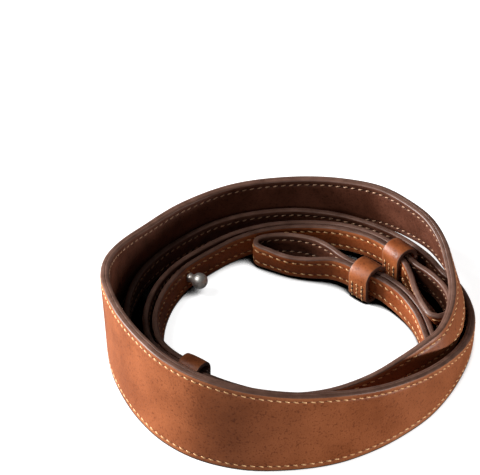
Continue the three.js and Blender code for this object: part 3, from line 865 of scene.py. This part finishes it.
def stud(name, node):
    """A ball on its neck and the screw that holds it, through both runs at a named station."""
    pair = pair_at(name)
    half = (pair.gap + strap_thickness) / 2
    seat = -half - clearance
    foot = seat - clearance
    neck, ball, post, head = (diameter / 2 for diameter in
                              (neck_diameter, ball_diameter, post_diameter, head_diameter))
    centre = foot - neck_length - math.sqrt(ball**2 - neck**2)
    profile = [(pole_radius, centre - ball)]
    profile += [(ball * math.sin(a), centre + ball * math.cos(a))
                for a in np.linspace(math.pi - ball_cap, math.asin(neck / ball), ball_rings)]
    profile += [(neck, foot - flare_share * neck_length), (neck + neck_flare, foot),
                (pole_radius, foot)]
    build_turned(f"{node}_ball", pair, profile)

    under = half + clearance
    top = under + head_thickness
    corner = 0.3 * head_rounding
    profile = [(pole_radius, seat), (post, seat), (post, under), (head, under),
               (head, top - head_rounding), (head - corner, top - corner),
               (head - head_rounding, top), (pole_radius, top)]
    build_turned(f"{node}_screw", pair, profile)


stud("a stud", "stud_a")
stud("b stud", "stud_b")

# Floor, lights and camera.
# A white sweep, a strong soft lamp low at the left, weaker ones in front, above and at the right,
# and the photograph's high view. To the camera alone the sweep shows white, with painted shade
# that turns it black where the straps shut out most of the sky.
sweep_half = 12.0
sky_reach = 45 * mm  # only what is this near shuts out the sky
# Painted shade: the floor is painted black below the first share of open sky and white above the
# second.
painted_shade_below, white_above = 0.38, 0.52  # shares of open sky


def seen_by_camera(tree):
    """1 straight from the camera, and 0 as a source of light on the strap."""
    return add_node(tree, "ShaderNodeLightPath").outputs["Is Camera Ray"]


def make_floor():
    mesh = bpy.data.meshes.new("floor")
    corners = [(x * sweep_half, y * sweep_half, 0) for x, y in ((-1, -1), (1, -1), (1, 1), (-1, 1))]
    mesh.from_pydata(corners, [], [(0, 1, 2, 3)])
    material, tree, shader = new_material("pale_floor")
    shader.inputs["Base Color"].default_value = (0.2, 0.2, 0.2, 1)
    seen = add_node(tree, "ShaderNodeBsdfPrincipled")
    # Painted shade: to the camera, the floor's colour follows its ambient occlusion, black in the
    # crevices between the straps.
    open_sky = add_node(tree, "ShaderNodeAmbientOcclusion", {"Distance": sky_reach}, samples=48)
    painted_light_share = band_of(tree, open_sky.outputs["AO"], painted_shade_below, white_above)
    tree.links.new(tone(tree, (0, 0, 0), (0.6, 0.6, 0.6), painted_light_share), seen.inputs["Base Color"])
    tree.links.new(tone(tree, (0, 0, 0), (1, 1, 1), painted_light_share), seen.inputs["Emission Color"])
    seen.inputs["Emission Strength"].default_value = 0.9
    for plain in (shader, seen):
        plain.inputs["Roughness"].default_value = 0.9
        plain.inputs["Specular IOR Level"].default_value = 0.0
    mix = add_node(tree, "ShaderNodeMixShader",
                   {0: seen_by_camera(tree), 1: shader.outputs["BSDF"], 2: seen.outputs["BSDF"]})
    tree.links.new(mix.outputs["Shader"], tree.nodes["Material Output"].inputs["Surface"])
    mesh.materials.append(material)
    floor = bpy.data.objects.new("floor", mesh)
    bpy.context.scene.collection.objects.link(floor)


def area_lamp(name, place, size, power):
    """A round lamp that faces the coil, with its place and size in metres and power in watts."""
    data = bpy.data.lights.new(name, "AREA")
    data.shape = "DISK"
    data.size = size
    data.energy = power
    lamp = bpy.data.objects.new(name, data)
    bpy.context.scene.collection.objects.link(lamp)
    lamp.location = place
    lamp.rotation_euler = (-Vector(place)).to_track_quat("-Z", "Y").to_euler()
    lamp.visible_camera = False


def make_sky():
    """White behind the strap, and a dim even light on it."""
    world = bpy.data.worlds.new("studio")
    bpy.context.scene.world = world
    world.use_nodes = True
    tree = world.node_tree
    background = tree.nodes["Background"]
    background.inputs["Color"].default_value = (1, 1, 1, 1)
    strength = add_node(tree, "ShaderNodeMapRange",
                        {"Value": seen_by_camera(tree), "To Min": 0.08, "To Max": 1.0})
    tree.links.new(strength.outputs["Result"], background.inputs["Strength"])


make_floor()
area_lamp("key_left", (-1.05, 0.3, 0.3), 0.4, 36)
area_lamp("front_fill", (-0.2, -1.1, 0.25), 0.5, 4)
area_lamp("top_left", (-0.6, -0.1, 0.82), 0.3, 4.5)
area_lamp("right_fill", (1.1, -0.35, 0.05), 0.12, 11)
make_sky()
bpy.context.scene.view_settings.view_transform = "Standard"

camera_height = math.radians(38)  # of its line of sight over the floor
camera_distance = 3.0
view_depth = 20  # past the far edge of the sweep
picture_width = 192 * mm  # that the camera sees at that distance
aim_left = 19.6 * mm  # from the middle of the coil to what the camera looks at
aim_up = 45.2 * mm
sight = np.array([0, math.cos(camera_height), -math.sin(camera_height)])
picture_up = np.array([0, math.sin(camera_height), math.cos(camera_height)])
aim = coil_shift + aim_left * np.array([-1, 0, 0]) + aim_up * picture_up
camera_data = bpy.data.cameras.new("camera")
camera_data.lens = camera_data.sensor_width * camera_distance / picture_width
camera = bpy.data.objects.new("camera", camera_data)
bpy.context.scene.collection.objects.link(camera)
camera.location = aim - camera_distance * sight
camera.rotation_euler = (math.radians(90) - camera_height, 0, 0)
camera_data.clip_end = view_depth
bpy.context.scene.camera = camera
